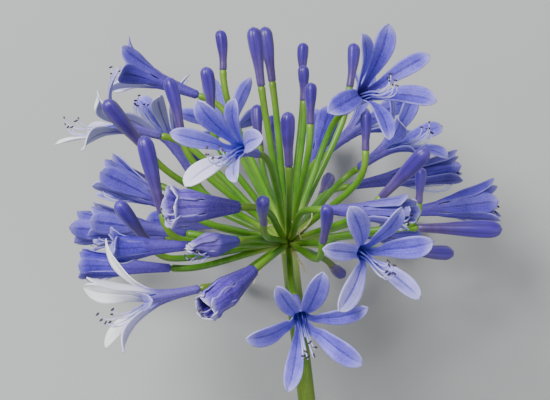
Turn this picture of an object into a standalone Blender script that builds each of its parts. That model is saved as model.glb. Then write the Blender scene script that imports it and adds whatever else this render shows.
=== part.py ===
"""A cut flowering stem of agapanthus, lying on a flat surface.

The round flower head rests on the petals of its underside, and the cut foot of
the stalk touches the surface, so the stalk slopes up towards the head.  +Z is up,
+Y runs along the stalk from its cut foot to the head.  The head is described in
its own frame: x to the right, y up the stalk, z away from the surface, with its
origin in the knob from which every flower stalk (pedicel) springs.
"""

import math

import bmesh
import bpy
from mathutils import Euler, Matrix, Vector

MM = 0.001  # every size below is in millimetres

# How the whole stem lies.
HEAD_HEIGHT = 83.8  # the knob above the surface
STALK_LENGTH = 300.0  # from the knob to the cut foot
STALK_RADIUS = 3.2
STALK_LEAN = 0.10  # sideways run of the stalk for each unit down it
STALK_BOW = 3.0
STALK_EASE = 0.3  # how far the bow is spread along the stalk from its middle
STALK_SIDES = 12
STALK_STEPS = 6
FOOT_RADIUS = 4.0
FOOT_HEIGHT = 2.9  # the middle of the cut end above the surface
KNOB_RADIUS = 5.2
KNOB_SIDES = 12
KNOB_RINGS = 8
CENTRE_SHIFT = (1.73, 101.66)  # puts the origin under the middle of the whole stem

# The flower stalks.
PEDICEL_RADIUS = 1.25
PEDICEL_END_RADIUS = 1.5
PEDICEL_SIDES = 5
PEDICEL_STEPS = 2
PEDICEL_NECK = 3.0  # the last straight stretch, under a bloom
PEDICEL_RISE = 0.45  # how far a pedicel heads straight for its bloom before it bends
PEDICEL_EASE = 0.2  # how far before its neck it has turned the way of its bloom
SEAT_GAP = 0.3  # between a pedicel's end and the flower that it carries

# The flowers.
PETALS = 6
PETAL_THICKNESS = 0.7
PETAL_HALF_WIDTH = 4.1
TUBE_BASE_RADIUS = 1.6
TUBE_LENGTH = 17.0
THROAT_RADIUS = 3.1
SPENT_TUBE_LENGTH = 14.0
SPENT_THROAT_RADIUS = 4.4
# The curve of a petal: it leaves the throat at most this far out, in degrees, and the
# end of one that is spread wide curls this much further.
PETAL_LEAVES = 22
PETAL_CURL = 28
PETAL_CURLS_FROM = 30
PETAL_REACH_OUT = 0.34
PETAL_REACH_BACK = 0.30
# share of a petal's length, and its half width there as a share of the widest
PETAL_ROWS = ((0.34, 0.62), (0.66, 1.0), (0.89, 0.80))
PETAL_FILLS = 0.93  # how much of its sixth of the flower a petal may fill
PETAL_FILLS_AT = 0.6  # the share of its length where that is reckoned
PETAL_CROWDING = 0.5  # most half width for the distance from the flower's axis
PETAL_CHANNEL = 0.22  # rise of a petal's edges over its midrib, for its half width
FILAMENT_RADIUS = 0.42
ANTHER_RADIUS = 0.7
STAMEN_LENGTH = 19.5
STAMEN_SHORTEST = 0.86  # of that length
STAMEN_LONGER = 0.05  # each stamen than the one before, of that length
STAMEN_FANS = (1.92, 2.24, 2.56)  # how far from the flower's axis the stamens end
STAMEN_SIDES = 4
STAMEN_INSET = 0.9  # its root's middle inside the throat's radius
STAMEN_TURN = 0.25  # how far round from a petal's middle its root is, in petals
STAMEN_SIDE = (0.15, -1.0, -0.25)  # the side of a flower to which its stamens lean
# Points along a stamen, each as shares of its root's and its fan's offset from the
# axis, and shares of its length, sideways and out from the throat.
STAMEN_COURSE = (
    (1.0, 0.0, 0.00, -0.15),
    (0.6, 0.0, 0.12, 0.30),
    (0.0, 0.7, 0.27, 0.68),
    (0.0, 1.0, 0.25, 0.93),
    (0.0, 1.0, 0.19, 1.00),
)

# Each bloom: kind, where its pedicel ends, the way it points, the length of its petals
# or of the whole bud, and how its petals spread, in degrees: one value for an even
# flower, or (turn round the flower, spread) for each petal.
OPEN, HALF, SPENT, BUD = "flower", "half_open_flower", "spent_flower", "bud"
EVEN_UNLIKE = (-2, 4)  # every other petal of an even flower spreads a little more
BLOOMS = (
    # flowers that face the light, on the upper side of the lying head
    (OPEN, (-11, 33, 46), (-0.40, 0.08, 0.91), 27,
     ((22, 36), (-28, 39), (-85, 43), (-144, 38), (145, 43), (78, 39))),
    (OPEN, (2, -18, 46), (0.12, -0.40, 0.91), 28,
     ((86, 50), (30, 56), (-10, 62), (-61, 58), (-115, 52), (161, 44))),
    (OPEN, (19, 0, 51), (0.40, -0.10, 0.91), 27,
     ((38, 56), (-12, 43), (-70, 40), (-137, 44), (141, 62), (82, 58))),
    (OPEN, (21, 50, 11), (0.42, 0.35, 0.84), 28,
     ((36, 37), (-10, 44), (-66, 54), (-119, 50), (119, 68), (176, 60))),
    (OPEN, (-31, -15, 50), (-0.93, -0.18, 0.33), 28,
     ((-20, 28), (24, 65), (66, 40), (137, 50), (-135, 48), (-86, 72))),
    (OPEN, (-48, 41, 0), (-0.93, 0.22, 0.29), 26,
     ((105, 75), (165, 30), (-128, 55), (-74, 57), (-35, 72), (60, 75))),
    (HALF, (-37, 4, 25), (-0.98, 0.12, -0.08), 21, 21),
    (OPEN, (-38, 26, -30), (-0.50, 0.84, 0.10), 28, 48),
    (OPEN, (15, 35, -45), (0.72, 0.60, -0.30), 28, 48),
    (OPEN, (28, 29, -34), (0.70, 0.50, 0.50), 25, 48),
    (HALF, (12, 13, 47), (0.86, -0.02, 0.50), 20, 14),
    (HALF, (-34, 57, -10), (-0.93, 0.34, 0.10), 21,
     ((10, 38), (-50, 30), (-105, 45), (-165, 35), (125, 45), (65, 45))),
    (HALF, (-34, 10, 32), (-0.90, 0.42, 0.00), 23, 21),
    (HALF, (-33, 0, 42), (-0.95, -0.03, 0.14), 16, 24),
    (HALF, (25, 22, -45), (0.98, 0.18, 0.02), 30, 10),
    (HALF, (43, 11, -30), (0.98, 0.12, 0.10), 26, 21),
    (SPENT, (-17, 14, 52), (-0.94, 0.00, 0.34), 15, 27),
    (SPENT, (-18, 2, 53), (-0.62, -0.08, 0.78), 13, 12),
    (SPENT, (-12, -8, 52), (-0.62, -0.46, 0.64), 15, 30),
    (BUD, (-46, 11, 37), (-0.23, 0.97, 0.10), 30, 0),
    (BUD, (-52, 34, 20), (-0.55, 0.68, 0.48), 28, 0),
    (BUD, (-51, 0, 31), (-0.45, 0.66, 0.60), 24, 0),
    (BUD, (-29, 47, 15), (-0.10, 0.97, 0.20), 20, 0),
    (BUD, (-40, 41, 20), (-0.22, 0.97, 0.05), 22, 0),
    (BUD, (-25, 66, 0), (-0.07, 1.00, 0.00), 16, 0),
    (BUD, (-10, 58, 25), (-0.14, 0.98, 0.05), 23, 0),
    (BUD, (-6, 61, 6), (-0.14, 0.99, 0.00), 22, 0),
    (BUD, (6, 63, -10), (0.00, 1.00, 0.00), 15, 0),
    (BUD, (6, 54, 5), (-0.02, 1.00, 0.02), 14, 0),
    (BUD, (8, 44, 28), (0.02, 1.00, 0.02), 16, 0),
    (BUD, (0, 28, 46), (-0.02, 0.95, 0.30), 21, 0),
    (BUD, (-9, 8, 55), (0.00, 0.50, 0.86), 18, 0),
    (BUD, (12, 1, 49), (0.08, 0.80, 0.58), 17, 0),
    (BUD, (24, 60, -9), (0.10, 0.98, -0.05), 18, 0),
    (BUD, (33, 17, 40), (0.62, 0.66, 0.42), 27, 0),
    (BUD, (49, 15, 16), (0.05, 0.98, 0.20), 14, 0),
    (BUD, (48, 6, 13), (1.00, -0.02, 0.00), 33, 0),
    # the side on which the head lies
    (HALF, (8, 23, -52), (0.20, 0.70, -0.68), 24, 21),
    (BUD, (-5, 32, -48), (-0.05, 0.90, -0.44), 22, 0),
    (BUD, (-11, 38, -40), (-0.08, 0.98, -0.18), 18, 0),
    (OPEN, (-20, 37, -42), (-0.22, 0.48, -0.85), 26, 48),
    (HALF, (-48, 2, -30), (-0.88, 0.08, -0.46), 26, 21),
    (HALF, (-30, 6, -48), (-0.50, 0.05, -0.87), 27, 21),
    (HALF, (31, 2, -49), (0.50, 0.02, -0.87), 25, 21),
    (BUD, (-3, 10, -58), (-0.08, 0.20, -0.97), 24, 0),
    (BUD, (46, -4, -30), (0.84, -0.05, -0.54), 26, 0),
    (BUD, (-14, -12, -54), (-0.30, -0.25, -0.92), 22, 0),
    (BUD, (18, -10, -54), (0.28, -0.26, -0.92), 20, 0),
    (BUD, (-50, 22, -18), (-0.90, 0.36, -0.26), 25, 0),
    (BUD, (-30, 26, -46), (-0.52, 0.50, -0.70), 24, 0),
    (BUD, (14, 18, -54), (0.20, 0.40, -0.90), 22, 0),
    # a short flower under the lowest white one, and a bud before the highest flower
    (HALF, (-43, -9, 19), (-1.00, 0.03, 0.00), 19, 18),
    (BUD, (28, 34, 36), (0.02, 1.00, -0.04), 15, 0),
)

# The two flowers of the underside on which the head rests, by their bases.
RESTING_BASES = ((-30, 6, -48), (31, 2, -49))
SLAB_SIZE = (400.0, 600.0, 20.0)

# A bud's widest radius grows with its length.  Its profile is a share of its length
# with a share of that radius.
BUD_RADIUS = 1.2
BUD_RADIUS_PER_LENGTH = 0.064
BUD_PROFILE = ((0.30, 0.60), (0.66, 0.97), (0.85, 0.95), (0.96, 0.60), (1.0, 0.18))
BUD_BASE_RADIUS = 1.5
BUD_SIDES = 8

# Dry bracteoles, thread-like, among the feet of the pedicels: where each one ends.
BRACTEOLE_RADIUS = 0.45
BRACTEOLE_SIDES = 4
BRACTEOLES = ((-14, -12, 16), (6, -9, 12), (-6, 7, 17), (9, 8, 14))

LEAST_UPRIGHT = 0.25  # a bloom that points nearer to the stalk's up is turned by z
SHARP_EDGE = 50  # degrees
WELD = 0.00001  # metres

COLOURS = {
    OPEN: (0.36, 0.37, 0.76, 1.0),
    HALF: (0.26, 0.27, 0.68, 1.0),
    SPENT: (0.20, 0.15, 0.55, 1.0),
    BUD: (0.14, 0.11, 0.45, 1.0),
    "stalk": (0.20, 0.36, 0.06, 1.0),
}


def clear_scene():
    for obj in list(bpy.data.objects):
        bpy.data.objects.remove(obj, do_unlink=True)


def new_collection(name):
    collection = bpy.data.collections.new(name)
    bpy.context.scene.collection.children.link(collection)
    return collection


def material(name, roughness=0.5):
    made = bpy.data.materials.new(name)
    made.use_nodes = True
    shader = made.node_tree.nodes["Principled BSDF"]
    shader.inputs["Base Color"].default_value = COLOURS[name]
    shader.inputs["Roughness"].default_value = roughness
    made.diffuse_color = COLOURS[name]
    return made


def aimed(origin, aim):
    """The frame of a bloom: z along aim, y the side nearest to the stalk's own up."""
    forward = Vector(aim).normalized()
    up = Vector((0, 1, 0)) - forward * forward.y
    if up.length < LEAST_UPRIGHT:
        up = Vector((0, 0, 1)) - forward * forward.z
    up.normalize()
    side = up.cross(forward)
    turn = Matrix((side, up, forward)).transposed().to_4x4()
    return Matrix.Translation(Vector(origin) * MM) @ turn


def bezier(points, share):
    """A point of the cubic curve with these four control points."""
    a, b, c, d = (Vector(p) for p in points)
    rest = 1 - share
    return a * rest**3 + b * 3 * rest**2 * share + c * 3 * rest * share**2 + d * share**3


def tube_of_points(name, points, radii, sides):
    """A tapered round rod through the points, as one closed mesh object."""
    curve = bpy.data.curves.new(name, "CURVE")
    curve.dimensions = "3D"
    curve.bevel_depth = MM
    curve.bevel_resolution = max(0, (sides - 4) // 2)
    curve.use_fill_caps = True
    spline = curve.splines.new("POLY")
    spline.points.add(len(points) - 1)
    for place, point, radius in zip(spline.points, points, radii):
        place.co = (*(Vector(point) * MM), 1)
        place.radius = radius
    drawn = bpy.data.objects.new(name, curve)
    bpy.context.scene.collection.objects.link(drawn)
    bpy.context.view_layer.update()
    graph = bpy.context.evaluated_depsgraph_get()
    mesh = bpy.data.meshes.new_from_object(drawn.evaluated_get(graph))
    bpy.data.objects.remove(drawn)
    rod = bmesh.new()
    rod.from_mesh(mesh)
    bmesh.ops.remove_doubles(rod, verts=rod.verts, dist=WELD)
    bmesh.ops.recalc_face_normals(rod, faces=rod.faces)
    rod.to_mesh(mesh)
    rod.free()
    return bpy.data.objects.new(name, mesh)


def joined(name, pieces, home):
    """The pieces fused into one solid by a Boolean union, as one object."""
    body, rest = pieces[0], pieces[1:]
    home.objects.link(body)
    body.name = name
    others = new_collection(name + " pieces")
    for piece in rest:
        others.objects.link(piece)
    union = body.modifiers.new("union", "BOOLEAN")
    union.operation = "UNION"
    union.solver = "MANIFOLD"
    union.operand_type = "COLLECTION"
    union.collection = others
    bpy.context.view_layer.update()
    graph = bpy.context.evaluated_depsgraph_get()
    mesh = bpy.data.meshes.new_from_object(body.evaluated_get(graph))
    body.modifiers.clear()
    body.data = mesh
    for piece in rest:
        bpy.data.objects.remove(piece)
    bpy.data.collections.remove(others)
    return body


def placed(obj, home, plant, paint):
    if obj.name not in home.objects:
        home.objects.link(obj)
    obj.parent = plant
    obj.data.materials.clear()
    obj.data.materials.append(paint)
    obj.data.shade_smooth()
    obj.data.set_sharp_from_angle(angle=math.radians(SHARP_EDGE))
    return obj


def pedicel_points(base, aim):
    """From the knob out to the bloom, easing into the way that the bloom points."""
    way = Vector(aim).normalized()
    end = Vector(base) - way * SEAT_GAP
    neck = end - way * PEDICEL_NECK
    control = ((0, 0, 0), neck * PEDICEL_RISE, neck - way * neck.length * PEDICEL_EASE, neck)
    points = [bezier(control, step / PEDICEL_STEPS) for step in range(PEDICEL_STEPS + 1)]
    return [*points, end]


def stalk_points():
    foot = Vector((STALK_LEAN, -1, 0)).normalized() * STALK_LENGTH
    middle = foot * 0.5 + Vector((STALK_BOW, 0, 0))
    control = ((0, 0, 0), middle * (1 - STALK_EASE), middle * (1 + STALK_EASE), foot)
    return [bezier(control, step / STALK_STEPS) for step in range(STALK_STEPS + 1)]


def knob():
    """The small swelling at the top of the stalk."""
    ball = bmesh.new()
    bmesh.ops.create_uvsphere(
        ball, u_segments=KNOB_SIDES, v_segments=KNOB_RINGS, radius=KNOB_RADIUS * MM
    )
    mesh = bpy.data.meshes.new("knob")
    ball.to_mesh(mesh)
    ball.free()
    return bpy.data.objects.new("knob", mesh)


def build_stalk(home, plant):
    """The stalk with its knob, every pedicel and the dry bracteoles: one grown piece."""
    points = stalk_points()
    last = len(points) - 1
    radii = [STALK_RADIUS + (FOOT_RADIUS - STALK_RADIUS) * i / last for i in range(last + 1)]
    pieces = [tube_of_points("stalk", points, radii, STALK_SIDES), knob()]
    for number, bloom in enumerate(BLOOMS):
        points = pedicel_points(*bloom[1:3])
        radii = [PEDICEL_RADIUS] * (len(points) - 1) + [PEDICEL_END_RADIUS]
        pieces.append(tube_of_points(f"pedicel {number}", points, radii, PEDICEL_SIDES))
    for number, end in enumerate(BRACTEOLES):
        points = [(0, 0, 0), Vector(end) * 0.6, end]
        radii = [BRACTEOLE_RADIUS] * len(points)
        pieces.append(tube_of_points(f"bracteole {number}", points, radii, BRACTEOLE_SIDES))
    stalk = joined("stalk_and_pedicels", pieces, home)
    return placed(stalk, home, plant, material("stalk", 0.45))


def petal_line(radius, length, spread, share):
    """Distance from the flower's axis and height over the throat, along a petal."""
    start = Vector((radius, 0, 0))
    tip = Vector((math.sin(spread), math.cos(spread), 0)) * length
    leaving = min(spread, math.radians(PETAL_LEAVES))
    curls = spread > math.radians(PETAL_CURLS_FROM)
    arriving = spread + (math.radians(PETAL_CURL) if curls else 0.0)
    out = Vector((math.sin(leaving), math.cos(leaving), 0))
    back = Vector((math.sin(arriving), math.cos(arriving), 0))
    first = start + out * length * PETAL_REACH_OUT
    second = tip - back * length * PETAL_REACH_BACK
    return bezier((start, first, second, tip), share)


def petal_list(petals):
    """Each petal's turn and spread in radians, in the order of the turns."""
    if not isinstance(petals, tuple):
        each = 360 / PETALS
        petals = [(each * i - each / 2, petals + EVEN_UNLIKE[i % 2]) for i in range(PETALS)]
    return sorted((math.radians(turn), math.radians(spread)) for turn, spread in petals)


def ring_of_tube(sheet, turn, radius, height):
    """Two points for each petal, on a circle round the flower's axis."""
    ring = []
    for i in range(PETALS * 2):
        angle = turn + math.pi * i / PETALS
        at = Vector((-math.sin(angle) * radius, math.cos(angle) * radius, height))
        ring.append(sheet.verts.new(at * MM))
    return ring


def petal_faces(sheet, row, radius, tube, length, turn, spread):
    """One petal, from the three points of its root to its rounded tip."""
    out = Vector((-math.sin(turn), math.cos(turn), 0))
    across = Vector((0, 0, 1)).cross(out)
    room = (radius + math.sin(spread) * length * PETAL_FILLS_AT) * math.tan(math.pi / PETALS)
    widest = min(PETAL_HALF_WIDTH, room * PETAL_FILLS)
    for share, width in PETAL_ROWS:
        at = petal_line(radius, length, spread, share)
        middle = out * at.x + Vector((0, 0, tube + at.y))
        half = min(widest * width, (at.x - PETAL_THICKNESS) * PETAL_CROWDING)
        lift = half * PETAL_CHANNEL
        edge = Vector((0, 0, lift * math.sin(spread))) - out * lift * math.cos(spread)
        reach = across * half
        points = (middle + edge - reach, middle, middle + edge + reach)
        edges = [sheet.verts.new(point * MM) for point in points]
        for k in range(2):
            sheet.faces.new((row[k], row[k + 1], edges[k + 1], edges[k]))
        row = edges
    at = petal_line(radius, length, spread, 1.0)
    tip = sheet.verts.new((out * at.x + Vector((0, 0, tube + at.y))) * MM)
    for k in range(2):
        sheet.faces.new((row[k], row[k + 1], tip))


def perianth(name, kind, length, petals):
    """The tube and its six petals as one open sheet, with the outer face outwards."""
    ordered = petal_list(petals)
    tube = SPENT_TUBE_LENGTH if kind == SPENT else TUBE_LENGTH
    radius = SPENT_THROAT_RADIUS if kind == SPENT else THROAT_RADIUS
    each = math.tau / PETALS
    first = sum(turn - each * i for i, (turn, _) in enumerate(ordered)) / PETALS
    sheet = bmesh.new()
    low = ring_of_tube(sheet, first, TUBE_BASE_RADIUS, 0)
    high = ring_of_tube(sheet, first, radius, tube)
    count = len(low)
    sheet.faces.new(reversed(low))
    for i in range(count):
        j = (i + 1) % count
        sheet.faces.new((low[i], low[j], high[j], high[i]))
    for i, (turn, spread) in enumerate(ordered):
        row = [high[(2 * i + k) % count] for k in (-1, 0, 1)]
        petal_faces(sheet, row, radius, tube, length, turn, spread)
    bmesh.ops.triangulate(sheet, faces=[f for f in sheet.faces if len(f.verts) == 4])
    mesh = bpy.data.meshes.new(name)
    sheet.to_mesh(mesh)
    sheet.free()
    return mesh


def evaluated_copy(obj):
    """A new mesh with the object's modifiers applied."""
    bpy.context.view_layer.update()
    graph = bpy.context.evaluated_depsgraph_get()
    return bpy.data.meshes.new_from_object(obj.evaluated_get(graph))


def low_side(aim):
    """The turn, seen from the mouth, of the side of a flower that hangs lowest."""
    frame = aimed((0, 0, 0), aim).to_3x3()
    down = frame.transposed() @ Vector(STAMEN_SIDE)
    return Vector((down.x, down.y, 0)).normalized()


def stamens(aim):
    """Six filaments that leave the tube's wall, lean to its low side and curl up."""
    low = low_side(aim)
    throat = Vector((0, 0, TUBE_LENGTH))
    rods = []
    for i in range(PETALS):
        angle = math.tau * (i + STAMEN_TURN) / PETALS
        way = Vector((math.sin(angle), math.cos(angle), 0))
        root = way * (THROAT_RADIUS - STAMEN_INSET)
        fan = way * STAMEN_FANS[i % len(STAMEN_FANS)]
        reach = STAMEN_LENGTH * (STAMEN_SHORTEST + STAMEN_LONGER * i)
        out = Vector((0, 0, reach))
        points = [
            root * near + fan * far + low * reach * lean + throat + out * rise
            for near, far, lean, rise in STAMEN_COURSE
        ]
        radii = [FILAMENT_RADIUS] * 3 + [ANTHER_RADIUS] * 2
        rods.append(tube_of_points(f"stamen {i}", points, radii, STAMEN_SIDES))
    return rods


def build_flower(name, kind, base, aim, length, petals, home, plant, paint):
    mesh = perianth(name, kind, length, petals)
    flower = bpy.data.objects.new(name, mesh)
    home.objects.link(flower)
    wall = flower.modifiers.new("thickness", "SOLIDIFY")
    wall.thickness = PETAL_THICKNESS * MM
    wall.offset = -1
    if kind == OPEN:
        flower.data = evaluated_copy(flower)
        flower.modifiers.clear()
        home.objects.unlink(flower)
        flower = joined(name, [flower, *stamens(aim)], home)
    placed(flower, home, plant, paint)
    flower.matrix_local = aimed(base, aim)
    return flower


def build_bud(name, base, aim, length, home, plant, paint):
    """A closed bud: a club-shaped profile turned round its own axis."""
    widest = BUD_RADIUS + BUD_RADIUS_PER_LENGTH * length
    points = [(BUD_BASE_RADIUS, 0, 0)]
    points += [(share * widest, 0, height * length) for height, share in BUD_PROFILE]
    points = [(0, 0, length), *reversed(points), (0, 0, 0)]
    profile = bmesh.new()
    made = [profile.verts.new(Vector(p) * MM) for p in points]
    for first, second in zip(made, made[1:]):
        profile.edges.new((first, second))
    mesh = bpy.data.meshes.new(name)
    profile.to_mesh(mesh)
    profile.free()
    bud = bpy.data.objects.new(name, mesh)
    home.objects.link(bud)
    turn = bud.modifiers.new("turned", "SCREW")
    turn.steps = turn.render_steps = BUD_SIDES
    turn.use_merge_vertices = True
    turn.merge_threshold = WELD
    placed(bud, home, plant, paint)
    bud.matrix_local = aimed(base, aim)
    return bud


def flatten_foot(obj, surface):
    """A small flat where the piece bears on the surface."""
    cut = obj.modifiers.new("resting flat", "BOOLEAN")
    cut.operation = "DIFFERENCE"
    cut.solver = "EXACT"
    cut.object = surface


def surface_cutter(home):
    """A slab whose top is the surface on which the stem lies."""
    slab = bmesh.new()
    size = Vector(SLAB_SIZE) * MM
    bmesh.ops.create_cube(slab, size=1)
    bmesh.ops.scale(slab, vec=size, verts=slab.verts)
    bmesh.ops.translate(slab, vec=(0, 0, -size.z / 2), verts=slab.verts)
    mesh = bpy.data.meshes.new("surface")
    slab.to_mesh(mesh)
    slab.free()
    surface = bpy.data.objects.new("surface", mesh)
    home.objects.link(surface)
    surface.hide_render = True
    surface.display_type = "WIRE"
    return surface


def main():
    clear_scene()
    home = new_collection("agapanthus stem")
    cutters = new_collection("cutters")
    cutters.hide_render = True
    surface = surface_cutter(cutters)
    plant = bpy.data.objects.new("head", None)
    home.objects.link(plant)
    rise = math.asin((HEAD_HEIGHT - FOOT_HEIGHT) / STALK_LENGTH)
    plant.rotation_euler = Euler((rise, 0, 0))
    plant.location = Vector((*CENTRE_SHIFT, HEAD_HEIGHT)) * MM
    flatten_foot(build_stalk(home, plant), surface)
    paints = {kind: material(kind) for kind in (OPEN, HALF, SPENT, BUD)}
    numbers = dict.fromkeys(paints, 0)
    for kind, base, aim, length, petals in BLOOMS:
        numbers[kind] += 1
        name = f"{kind}_{numbers[kind]:02d}"
        if kind == BUD:
            build_bud(name, base, aim, length, home, plant, paints[kind])
        else:
            flower = build_flower(name, kind, base, aim, length, petals, home, plant, paints[kind])
            if base in RESTING_BASES:
                flatten_foot(flower, surface)


main()
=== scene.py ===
import math
import random
from collections import namedtuple

import bpy
import numpy as np
from mathutils import Matrix, Vector, noise


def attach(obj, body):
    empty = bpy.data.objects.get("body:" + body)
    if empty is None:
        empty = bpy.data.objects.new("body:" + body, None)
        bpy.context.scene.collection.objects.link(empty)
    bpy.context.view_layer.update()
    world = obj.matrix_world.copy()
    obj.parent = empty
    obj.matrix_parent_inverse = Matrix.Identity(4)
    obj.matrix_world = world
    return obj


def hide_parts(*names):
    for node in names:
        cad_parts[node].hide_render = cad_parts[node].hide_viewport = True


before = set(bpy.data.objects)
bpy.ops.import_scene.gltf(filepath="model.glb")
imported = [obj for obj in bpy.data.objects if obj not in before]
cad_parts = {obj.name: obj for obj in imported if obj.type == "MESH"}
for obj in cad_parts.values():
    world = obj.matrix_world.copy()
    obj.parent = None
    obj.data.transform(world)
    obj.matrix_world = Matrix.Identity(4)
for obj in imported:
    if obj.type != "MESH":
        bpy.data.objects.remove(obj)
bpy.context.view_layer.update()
bpy.ops.object.select_all(action="DESELECT")

# Stalk and pedicels.
# The green stalk ends in a small knob, and from it a slender pedicel grows to every
# flower and bud. Fresh, smooth and juicy, it is all one growth, so it is one piece.

MM = 0.001

# The head's own frame: x to the right, y up the stalk, z away from the surface, with
# its origin in the knob. The stalk slopes down from there to its cut foot.
KNOB_PLACE = (1.73, 101.66)
KNOB_HEIGHT = 83.8
FOOT_HEIGHT = 2.9
STALK_LENGTH = 300.0
slope = math.asin((KNOB_HEIGHT - FOOT_HEIGHT) / STALK_LENGTH)
head = Matrix.Translation(Vector((*KNOB_PLACE, KNOB_HEIGHT)) * MM) @ Matrix.Rotation(slope, 4, "X")

# Where each pedicel ends in the head's frame, in millimetres, and the way it points.
borne = {
    "flower_01": ((-11, 33, 46), (-0.40, 0.08, 0.91)),
    "flower_02": ((2, -18, 46), (0.12, -0.40, 0.91)),
    "flower_03": ((19, 0, 51), (0.40, -0.10, 0.91)),
    "flower_04": ((21, 50, 11), (0.42, 0.35, 0.84)),
    "flower_05": ((-31, -15, 50), (-0.93, -0.18, 0.33)),
    "flower_06": ((-48, 41, 0), (-0.93, 0.22, 0.29)),
    "flower_07": ((-38, 26, -30), (-0.50, 0.84, 0.10)),
    "flower_08": ((15, 35, -45), (0.72, 0.60, -0.30)),
    "flower_09": ((28, 29, -34), (0.70, 0.50, 0.50)),
    "flower_10": ((-20, 37, -42), (-0.22, 0.48, -0.85)),
    "half_open_flower_01": ((-37, 4, 25), (-0.98, 0.12, -0.08)),
    "half_open_flower_02": ((12, 13, 47), (0.86, -0.02, 0.50)),
    "half_open_flower_03": ((-34, 57, -10), (-0.93, 0.34, 0.10)),
    "half_open_flower_04": ((-34, 10, 32), (-0.90, 0.42, 0.00)),
    "half_open_flower_05": ((-33, 0, 42), (-0.95, -0.03, 0.14)),
    "half_open_flower_06": ((25, 22, -45), (0.98, 0.18, 0.02)),
    "half_open_flower_07": ((43, 11, -30), (0.98, 0.12, 0.10)),
    "half_open_flower_08": ((8, 23, -52), (0.20, 0.70, -0.68)),
    "half_open_flower_09": ((-48, 2, -30), (-0.88, 0.08, -0.46)),
    "half_open_flower_10": ((-30, 6, -48), (-0.50, 0.05, -0.87)),
    "half_open_flower_11": ((31, 2, -49), (0.50, 0.02, -0.87)),
    "half_open_flower_12": ((-43, -9, 19), (-1.00, 0.03, 0.00)),
    "spent_flower_01": ((-17, 14, 52), (-0.94, 0.00, 0.34)),
    "spent_flower_02": ((-18, 2, 53), (-0.62, -0.08, 0.78)),
    "spent_flower_03": ((-12, -8, 52), (-0.62, -0.46, 0.64)),
    "bud_01": ((-46, 11, 37), (-0.23, 0.97, 0.10)),
    "bud_02": ((-52, 34, 20), (-0.55, 0.68, 0.48)),
    "bud_03": ((-51, 0, 31), (-0.45, 0.66, 0.60)),
    "bud_04": ((-29, 47, 15), (-0.10, 0.97, 0.20)),
    "bud_05": ((-40, 41, 20), (-0.22, 0.97, 0.05)),
    "bud_06": ((-25, 66, 0), (-0.07, 1.00, 0.00)),
    "bud_07": ((-10, 58, 25), (-0.14, 0.98, 0.05)),
    "bud_08": ((-6, 61, 6), (-0.14, 0.99, 0.00)),
    "bud_09": ((6, 63, -10), (0.00, 1.00, 0.00)),
    "bud_10": ((6, 54, 5), (-0.02, 1.00, 0.02)),
    "bud_11": ((8, 44, 28), (0.02, 1.00, 0.02)),
    "bud_12": ((0, 28, 46), (-0.02, 0.95, 0.30)),
    "bud_13": ((-9, 8, 55), (0.00, 0.50, 0.86)),
    "bud_14": ((12, 1, 49), (0.08, 0.80, 0.58)),
    "bud_15": ((24, 60, -9), (0.10, 0.98, -0.05)),
    "bud_16": ((33, 17, 40), (0.62, 0.66, 0.42)),
    "bud_17": ((49, 15, 16), (0.05, 0.98, 0.20)),
    "bud_18": ((48, 6, 13), (1.00, -0.02, 0.00)),
    "bud_19": ((-5, 32, -48), (-0.05, 0.90, -0.44)),
    "bud_20": ((-11, 38, -40), (-0.08, 0.98, -0.18)),
    "bud_21": ((-3, 10, -58), (-0.08, 0.20, -0.97)),
    "bud_22": ((46, -4, -30), (0.84, -0.05, -0.54)),
    "bud_23": ((-14, -12, -54), (-0.30, -0.25, -0.92)),
    "bud_24": ((18, -10, -54), (0.28, -0.26, -0.92)),
    "bud_25": ((-50, 22, -18), (-0.90, 0.36, -0.26)),
    "bud_26": ((-30, 26, -46), (-0.52, 0.50, -0.70)),
    "bud_27": ((14, 18, -54), (0.20, 0.40, -0.90)),
    "bud_28": ((28, 34, 36), (0.02, 1.00, -0.04)),
}

PEDICEL_RADIUS = 1.25
PEDICEL_END_RADIUS = 1.45
PEDICEL_SWELLING = 1.04  # how much thicker it already is where the last stretch starts
NECK = 3.3  # the last straight stretch of a pedicel
SEATED = 0.9  # how far its tip goes into the foot of the bloom
SEATED_RADIUS = 1.0
PEDICEL_STEPS = 6
PEDICEL_LEAVES = 0.45  # how far out, as a share, it keeps the way in which it set off
PEDICEL_ARRIVES = 0.2  # and over what share it turns into the way of its bloom
STALK_RADIUS = 3.2
FOOT_RADIUS = 4.0
STALK_LEAN = 0.10
STALK_BOW = 3.0
STALK_STEPS = 12
KNOB_RADIUS = 5.2
WELD = 0.001  # vertices nearer than this are one, in millimetres
SMOOTH_ANGLE = 50
foot_way = Vector((STALK_LEAN, -1, 0)).normalized()


def bezier(points, share):
    """A point of the cubic curve with these four control points."""
    a, b, c, d = (Vector(p) for p in points)
    rest = 1 - share
    return a * rest**3 + b * 3 * rest**2 * share + c * 3 * rest * share**2 + d * share**3


def welded(distance):
    """Merges the active mesh's doubled vertices and points its faces outwards."""
    bpy.ops.object.mode_set(mode="EDIT")
    bpy.ops.mesh.select_all(action="SELECT")
    bpy.ops.mesh.remove_doubles(threshold=distance * MM)
    bpy.ops.mesh.normals_make_consistent(inside=False)
    bpy.ops.object.mode_set(mode="OBJECT")


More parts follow.
